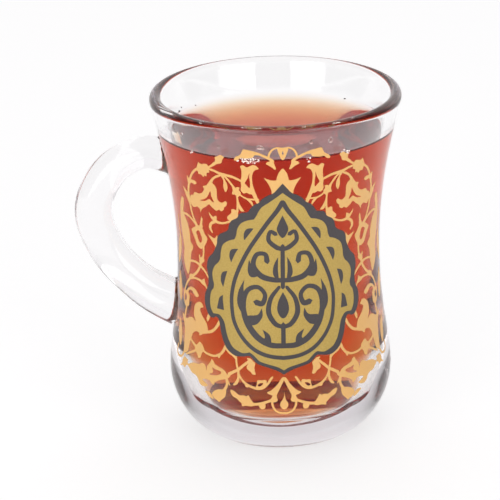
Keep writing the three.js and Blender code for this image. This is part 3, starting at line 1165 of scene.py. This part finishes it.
field = [middle_outline(from_photo(SHIELD["field"], on_middle=True))]
border = [middle_outline(from_photo(SHIELD["border"], on_middle=True))]
ink = both_sides([leaf_outline(from_photo(p)) for p in HALF_MOONS.values()])
drop_line = from_photo(DROP_LINE, on_middle=True)
ink += both_sides([stroke_outline([(x, y, w) for (x, y), w in zip(drop_line, DROP_LINE_WIDTHS)])])
ink += both_sides([stroke_outline(p) for p in ARABESQUE_STEMS.values()])
ink += both_sides([leaf_outline(p) for p in ARABESQUE_LEAVES.values()])
ink += [middle_outline(p) for p in ARABESQUE_MIDDLE.values()]
print("shield: field, border and", len(ink), "dark shapes")

# %% [markdown]
# Overlapping outlines become one flat sheet by a constrained triangulation, which also cuts the gaps out and
# lays a grid through the sheet so that it can bend. The sheet is extruded to the enamel's thickness in edit
# mode. Then each vertex is put on the glass: across becomes an angle round it, up a height, and the third
# coordinate a distance from its wall. The enamel starts a little inside the wall and stands a little proud.

# %% Enamel on the glass
GRID = 2.0  # mm
GRID_SHIFT = 0.013  # mm, a hair off round values, so that no line runs through the corners of the shapes
SHEET_MARGIN = 0.5  # mm
SUNK = 0.03  # mm


def covers(outline, point):
    """Whether an outline winds round a point, also where the outline laps over itself."""
    turns = 0
    for a, b in zip(outline, outline[1:] + outline[:1]):
        if (a.y <= point.y) != (b.y <= point.y):
            side = (b.x - a.x) * (point.y - a.y) - (point.x - a.x) * (b.y - a.y)
            if (b.y > a.y) == (side > 0):
                turns += 1 if b.y > a.y else -1
    return turns != 0


def boxed(outlines):
    """Each outline with its lowest and highest values, to pass over the far ones quickly."""
    found = []
    for outline in outlines:
        xs = [p.x for p in outline]
        ys = [p.y for p in outline]
        found.append((min(xs), max(xs), min(ys), max(ys), outline))
    return found


def covered(boxes, point):
    return any(
        x1 < point.x < x2 and y1 < point.y < y2 and covers(outline, point)
        for x1, x2, y1, y2, outline in boxes
    )


def flat_sheet(shapes, gaps):
    """Corners and triangles of what the shapes cover and the gaps don't."""
    points = []
    lines = []
    for outline in shapes + gaps:
        first = len(points)
        count = len(outline)
        lines += [(first + i, first + (i + 1) % count) for i in range(count)]
        points += outline
    low = [min(p[k] for p in points) - SHEET_MARGIN for k in (0, 1)]
    high = [max(p[k] for p in points) + SHEET_MARGIN for k in (0, 1)]
    for k in (0, 1):
        for step in range(math.ceil(low[k] / GRID), math.floor(high[k] / GRID) + 1):
            at = step * GRID + GRID_SHIFT
            ends = ((at, low[1]), (at, high[1])) if k == 0 else ((low[0], at), (high[0], at))
            lines.append((len(points), len(points) + 1))
            points += [Vector(end) for end in ends]
    corners, _, triangles, _, _, _ = geometry.delaunay_2d_cdt(points, lines, [], 0, 1e-3, False)
    shape_boxes = boxed(shapes)
    gap_boxes = boxed(gaps)
    kept = []
    for triangle in triangles:
        centre = sum((corners[i] for i in triangle), Vector((0, 0))) / 3
        if covered(shape_boxes, centre) and not covered(gap_boxes, centre):
            kept.append(tuple(triangle))
    return corners, kept


def on_glass(across, up, lift):
    """A point of the print on the glass, in metres."""
    x = across * math.cos(PRINT_TILT) - (up - PRINT_PIVOT) * math.sin(PRINT_TILT)
    z = PRINT_PIVOT + across * math.sin(PRINT_TILT) + (up - PRINT_PIVOT) * math.cos(PRINT_TILT)
    angle = PRINT_TURN + x / UNROLLED_RADIUS
    r = radius_at(OUTSIDE, z) + lift
    return Vector((r * math.sin(angle), -r * math.cos(angle), z)) * MM


def enamel(name, shapes, gaps, proud):
    corners, triangles = flat_sheet(shapes, gaps)
    mesh = bpy.data.meshes.new(name)
    mesh.from_pydata([(p.x, p.y, 0) for p in corners], [], triangles)
    piece = bpy.data.objects.new(name, mesh)
    bpy.context.collection.objects.link(piece)
    only(piece)
    bpy.ops.object.mode_set(mode="EDIT")
    bpy.ops.mesh.select_all(action="SELECT")
    bpy.ops.mesh.delete_loose()
    bpy.ops.mesh.select_all(action="SELECT")
    bpy.ops.mesh.extrude_region_move(TRANSFORM_OT_translate={"value": (0, 0, 1)})
    bpy.ops.mesh.select_all(action="SELECT")
    bpy.ops.mesh.normals_make_consistent(inside=False)
    bpy.ops.object.mode_set(mode="OBJECT")
    for vertex in mesh.vertices:
        across, up, top = vertex.co
        vertex.co = on_glass(across, up, proud if top > 0.5 else -SUNK)
    bpy.ops.object.shade_smooth_by_angle(angle=math.radians(35))
    print(name, len(mesh.polygons), "faces")
    return piece


gold_print = enamel("gold_scroll_print", scroll, scroll_gaps, 0.045)
olive_print = enamel("olive_shield_print", border, [], 0.05)
dark_print = enamel("dark_line_print", border, field, 0.062)
ink_print = enamel("dark_arabesque_print", ink, [], 0.062)

# %% [markdown]
# Freshly poured tea leaves traces: a froth of fine bubbles where it meets the wall, drops that its splashes
# left on the wall above, and specks of leaf at its edge. A bubble is a ball that is a little flattened. A
# drop is a ball that is pressed flat against the wall and hangs down. A speck is a small curled flake.

# %% Bubbles, drops and specks
random.seed(7)


def joined(name, parts):
    bpy.ops.object.select_all(action="DESELECT")
    for part in parts:
        part.select_set(True)
    bpy.context.view_layer.objects.active = parts[0]
    bpy.ops.object.join()
    piece = bpy.context.object
    piece.name = name
    piece.data.name = name
    bpy.ops.object.transform_apply(location=True, rotation=True, scale=True)
    return piece


def ball(radius, fineness):
    bpy.ops.object.select_all(action="DESELECT")
    bpy.ops.mesh.primitive_ico_sphere_add(subdivisions=fineness, radius=radius * MM)
    return bpy.context.object


def round_glass(turn, r, z):
    """The place at an angle in degrees from the front, a radius and a height."""
    angle = math.radians(turn)
    return Vector((r * math.sin(angle), -r * math.cos(angle), z)) * MM


def bubble(place, radius):
    bead = ball(radius, 3)
    bead.scale = (1, 1, random.uniform(0.75, 0.95))
    bead.location = place
    bpy.ops.object.shade_smooth_by_angle(angle=math.radians(60))
    return bead


def froth(name, clusters):
    """Clusters of bubbles on the wall, each with its middle and spread in degrees and a count."""
    beads = []
    taken = []
    wall = radius_at(INSIDE, CONTACT_LEVEL)
    for middle, spread, count in clusters:
        made = 0
        while made < count:
            radius = random.uniform(0.12, 0.36)
            z = CONTACT_LEVEL + random.gauss(-0.6, 0.3)
            place = round_glass(middle + random.gauss(0, spread), wall - radius * 0.2, z)
            if all((place - other).length > (radius + reach) * 0.95 * MM for other, reach in taken):
                taken.append((place, radius))
                beads.append(bubble(place, radius))
                made += 1
    return joined(name, beads)


def wall_drop(turn, z, width, height):
    """A drop on the inner wall. Its flat side lies a little inside the glass."""
    drop = ball(0.5, 3)
    for vertex in drop.data.vertices:
        vertex.co.x *= 0.8 + 0.35 * clamp(0.5 - vertex.co.z / MM)
        vertex.co.y = max(vertex.co.y, -0.1 * MM)
    drop.scale = (width, 0.55 * width, height)
    drop.rotation_euler = (0, 0, math.radians(turn))
    drop.location = round_glass(turn, radius_at(INSIDE, z) + 0.02, z)
    bpy.ops.object.shade_smooth_by_angle(angle=math.radians(60))
    return drop


def leaf_speck(turn, z, size):
    """A curled flake of leaf that sticks to the wall."""
    flake = ball(size / 2, 3)
    for vertex in flake.data.vertices:
        x, y, _ = vertex.co / MM / size
        push = 1 + 0.35 * math.sin(9 * x + 5 * z) * math.cos(7 * y + turn)
        vertex.co = Vector((vertex.co.x * push, vertex.co.y * 0.35 * push, vertex.co.z * 0.6))
    flake.rotation_euler = (0.3, random.uniform(0, math.pi), math.radians(turn))
    flake.location = round_glass(turn, radius_at(INSIDE, z) - 0.12, z)
    return flake


# Middle and spread in degrees round from the front, and how many bubbles
BUBBLES = [(-13.5, 1.8, 30), (36, 1.3, 13), (-47, 0.9, 3), (16, 0.8, 3)]
# Degrees round from the front, height, width and length in mm
DROPS = [
    (-29, 87.0, 0.9, 1.2),
    (-8, 87.6, 1.6, 1.2),
    (-6.5, 87.3, 0.8, 0.7),
    (17, 88.6, 1.0, 1.3),
    (27, 88.4, 1.2, 1.6),
    (33, 86.6, 0.8, 0.9),
    (-52, 88.2, 1.0, 1.4),
]
# Degrees round from the front, height and size in mm
SPECKS = [
    (-114, 84.4, 0.8),
    (-111, 84.1, 0.6),
    (-117, 85.0, 0.5),
    (-108, 84.3, 0.45),
    (-129.7, 83.9, 0.55),
    (138, 84.0, 0.65),
]
bubbles = froth("tea_bubbles", BUBBLES)
drops = joined("wall_drops", [wall_drop(*drop) for drop in DROPS])
specks = joined("leaf_specks", [leaf_speck(*speck) for speck in SPECKS])
for piece in (bubbles, drops, specks):
    print(piece.name, len(piece.data.polygons), "faces")

# %% [markdown]
# Materials. One function turns an sRGB hex value to linear colour, and one adds a node with its settings and
# its links.

# %% Material helpers


def colour(hex_value):
    """An sRGB hex value such as "E8B05E" as linear RGBA."""
    parts = [int(hex_value[i : i + 2], 16) / 255 for i in (0, 2, 4)]
    return (*(c / 12.92 if c <= 0.04045 else ((c + 0.055) / 1.055) ** 2.4 for c in parts), 1.0)


def node(tree, kind, settings=None, values=None, links=None):
    """Add a node, set its properties and its sockets' values, and link other outputs to its inputs."""
    made = tree.nodes.new(kind)
    for key, value in (settings or {}).items():
        setattr(made, key, value)
    for key, value in (values or {}).items():
        made.inputs[key].default_value = value
    for key, output in (links or {}).items():
        tree.links.new(output, made.inputs[key])
    return made


def new_material(name):
    material = bpy.data.materials.new(name)
    material.use_nodes = True
    tree = material.node_tree
    tree.nodes.clear()
    output = tree.nodes.new("ShaderNodeOutputMaterial")
    place = tree.nodes.new("ShaderNodeTexCoord").outputs["Object"]
    return material, tree, output, place


def mirror_where_dry(tree, dry, wet):
    """How strongly a surface mirrors: much less where glass and tea touch than where either meets air."""
    wetness = node(tree, "ShaderNodeAttribute", {"attribute_name": "wet"})
    level = node(
        tree,
        "ShaderNodeMapRange",
        values={"To Min": dry, "To Max": wet},
        links={"Value": wetness.outputs["Fac"]},
    )
    return level.outputs["Result"]


# %% [markdown]
# Soda-lime glass, pressed in an iron mould and fire polished. It is clear and very smooth, but the mould
# leaves it slightly uneven: waves about a centimetre long that bend what is seen through the thick base.

# %% Pressed glass
GLASS_WAVE = 8.0  # mm from crest to crest
GLASS_WAVE_HEIGHT = 0.022  # mm


def pressed_glass():
    material, tree, output, place = new_material("pressed_soda_lime_glass")
    waves = node(
        tree,
        "ShaderNodeTexNoise",
        values={"Scale": 1 / (GLASS_WAVE * MM), "Detail": 1.0, "Roughness": 0.4},
        links={"Vector": place},
    )
    bump = node(
        tree,
        "ShaderNodeBump",
        values={"Strength": 1.0, "Distance": GLASS_WAVE_HEIGHT * MM},
        links={"Height": waves.outputs["Fac"]},
    )
    shader = node(
        tree,
        "ShaderNodeBsdfPrincipled",
        values={
            "Base Color": (1, 1, 1, 1),
            "Roughness": 0.0,
            "IOR": 1.5,
            "Transmission Weight": 1.0,
        },
        links={
            "Normal": bump.outputs["Normal"],
            # on the glass the wet value also holds the painted shade that dims the outside in front of the
            # tea
            "Specular Tint": mirror_where_dry(tree, 1.0, 0.0),
        },
    )
    tint = node(
        tree,
        "ShaderNodeVolumeAbsorption",
        values={"Color": (0.90, 0.885, 0.895, 1), "Density": 42.0},
    )
    tree.links.new(shader.outputs["BSDF"], output.inputs["Surface"])
    tree.links.new(tint.outputs["Volume"], output.inputs["Volume"])
    return material


# %% [markdown]
# Black tea is clear. Its colour comes from depth alone: a few millimetres are straw yellow, and the full
# width of the glass is a deep brick red. So the colour is set as what each metre takes away. The top is
# still, with only the faintest swell.

# %% Black tea
TEA_TAKES = (16.0, 78.0, 150.0)  # what a metre of tea takes away of red, green and blue, as exponents
SWELL = 14.0  # mm


def black_tea():
    material, tree, output, place = new_material("brewed_black_tea")
    ripple = node(
        tree,
        "ShaderNodeTexNoise",
        values={"Scale": 1 / (SWELL * MM), "Detail": 0.0},
        links={"Vector": place},
    )
    bump = node(
        tree,
        "ShaderNodeBump",
        values={"Strength": 1.0, "Distance": 0.004 * MM},
        links={"Height": ripple.outputs["Fac"]},
    )
    shader = node(
        tree,
        "ShaderNodeBsdfPrincipled",
        values={
            "Base Color": (1, 1, 1, 1),
            "Roughness": 0.0,
            "IOR": 1.333,
            "Transmission Weight": 1.0,
        },
        links={
            "Normal": bump.outputs["Normal"],
            "Specular Tint": mirror_where_dry(tree, 0.8, 0.0),
        },
    )
    density = max(TEA_TAKES) / 0.97  # a little above the largest, so that no channel is quite black
    keeps = [1 - take / density for take in TEA_TAKES]
    brew = node(
        tree,
        "ShaderNodeVolumeAbsorption",
        values={"Color": (*keeps, 1), "Density": density},
    )
    tree.links.new(shader.outputs["BSDF"], output.inputs["Surface"])
    tree.links.new(brew.outputs["Volume"], output.inputs["Volume"])
    return material


# %% [markdown]
# Fired enamel: a coloured ground glass that is screened on and melted in a kiln. It is opaque and has a soft
# gloss. Its grain shows as a fine speckle, and the film is slightly uneven in thickness.

# %% Fired enamels
SPECKLE = 0.35  # mm
FILM_WAVE = 1.6  # mm


def fired_enamel(name, pale, deep, roughness, speckled):
    """An opaque enamel whose grain runs from one colour to another."""
    material, tree, output, place = new_material(name)
    grain = node(
        tree,
        "ShaderNodeTexNoise",
        values={"Scale": 1 / (SPECKLE * MM), "Detail": 3.0, "Roughness": 0.6},
        links={"Vector": place},
    )
    film = node(
        tree,
        "ShaderNodeTexNoise",
        values={"Scale": 1 / (FILM_WAVE * MM), "Detail": 2.0},
        links={"Vector": place},
    )
    spread = node(
        tree,
        "ShaderNodeMapRange",
        values={"From Min": 0.3, "From Max": 0.7, "To Min": 0.5 - speckled, "To Max": 0.5 + speckled},
        links={"Value": grain.outputs["Fac"]},
    )
    mix = node(
        tree,
        "ShaderNodeMix",
        {"data_type": "RGBA"},
        links={"Factor": spread.outputs["Result"]},
    )
    mix.inputs["A"].default_value = colour(pale)
    mix.inputs["B"].default_value = colour(deep)
    bump = node(
        tree,
        "ShaderNodeBump",
        values={"Strength": 1.0, "Distance": 0.006 * MM},
        links={"Height": film.outputs["Fac"]},
    )
    shader = node(
        tree,
        "ShaderNodeBsdfPrincipled",
        values={"Roughness": roughness, "IOR": 1.5},
        links={"Base Color": mix.outputs["Result"], "Normal": bump.outputs["Normal"]},
    )
    tree.links.new(shader.outputs["BSDF"], output.inputs["Surface"])
    return material


# %% [markdown]
# Three more materials. A drop bends light like tea but is too thin to show its colour. Froth is the same
# tea, but so many fine skins scatter light that it looks milky, and it has a painted glow of its own. A
# speck is wet black leaf.

# %% Drops, froth and leaf


def thin_tea(name, clear, painted_glow):
    """Tea too thin to have a colour of its own, from milky (0) to clear (1).

    The painted glow is light that the froth gives off by itself, though it is no lamp, so that it shows
    bright.
    """
    material, tree, output, place = new_material(name)
    ripple = node(
        tree,
        "ShaderNodeTexNoise",
        values={"Scale": 1 / (0.9 * MM), "Detail": 1.0},
        links={"Vector": place},
    )
    bump = node(
        tree,
        "ShaderNodeBump",
        values={"Strength": 1.0, "Distance": 0.01 * MM},
        links={"Height": ripple.outputs["Fac"]},
    )
    shader = node(
        tree,
        "ShaderNodeBsdfPrincipled",
        values={
            "Base Color": (1.0, 0.96, 0.91, 1),
            "Roughness": 0.05,
            "IOR": 1.333,
            "Transmission Weight": clear,
            # painted glow: the froth gives off light of its own, though it is no lamp
            "Emission Color": (1.0, 0.95, 0.92, 1),
            "Emission Strength": painted_glow,
        },
        links={"Normal": bump.outputs["Normal"]},
    )
    tree.links.new(shader.outputs["BSDF"], output.inputs["Surface"])
    return material


def wet_leaf():
    material, tree, output, place = new_material("wet_black_tea_leaf")
    veins = node(
        tree,
        "ShaderNodeTexNoise",
        values={"Scale": 1 / (0.2 * MM), "Detail": 4.0},
        links={"Vector": place},
    )
    mix = node(tree, "ShaderNodeMix", {"data_type": "RGBA"}, links={"Factor": veins.outputs["Fac"]})
    mix.inputs["A"].default_value = colour("1E120C")
    mix.inputs["B"].default_value = colour("4A2E1C")
    bump = node(
        tree,
        "ShaderNodeBump",
        values={"Strength": 1.0, "Distance": 0.02 * MM},
        links={"Height": veins.outputs["Fac"]},
    )
    shader = node(
        tree,
        "ShaderNodeBsdfPrincipled",
        values={"Roughness": 0.35},
        links={"Base Color": mix.outputs["Result"], "Normal": bump.outputs["Normal"]},
    )
    tree.links.new(shader.outputs["BSDF"], output.inputs["Surface"])
    return material


gold_enamel = fired_enamel("fired_gold_yellow_enamel", "F6C377", "EEB467", 0.42, 0.4)
olive_enamel = fired_enamel("fired_olive_gold_enamel", "CAAC58", "B99846", 0.5, 0.5)
dark_enamel = fired_enamel("fired_dark_grey_enamel", "484244", "3D3739", 0.4, 0.4)

for piece, material in (
    (glass, pressed_glass()),
    (tea, black_tea()),
    (gold_print, gold_enamel),
    (olive_print, olive_enamel),
    (dark_print, dark_enamel),
    (ink_print, dark_enamel),
    # the froth has a painted glow of 0.4
    (bubbles, thin_tea("milky_tea_froth_painted_glow", 0.3, 0.4)),
    (drops, thin_tea("splashed_clear_tea", 1.0, 0.0)),
    (specks, wet_leaf()),
):
    piece.data.materials.clear()
    piece.data.materials.append(material)
    print(piece.name, "is", material.name)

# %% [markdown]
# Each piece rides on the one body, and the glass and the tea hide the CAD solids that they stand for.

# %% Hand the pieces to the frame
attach(glass, "root")
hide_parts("glass")
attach(tea, "root")
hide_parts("tea")
for piece, slot in (
    (gold_print, "gold_enamel"),
    (olive_print, "olive_enamel"),
    (dark_print, "dark_enamel"),
    (ink_print, "dark_enamel"),
    (bubbles, "tea"),
    (drops, "tea"),
    (specks, "tea"),
):
    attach(piece, "root")

# %% [markdown]
# Light crosses many faces of glass and tea before it leaves. A low limit on its bounces would end those
# paths in black bands along the rim.

# %% Bounces
scene = bpy.context.scene
scene.cycles.max_bounces = 128
scene.cycles.transmission_bounces = 128
scene.cycles.glossy_bounces = 128
scene.cycles.transparent_max_bounces = 16
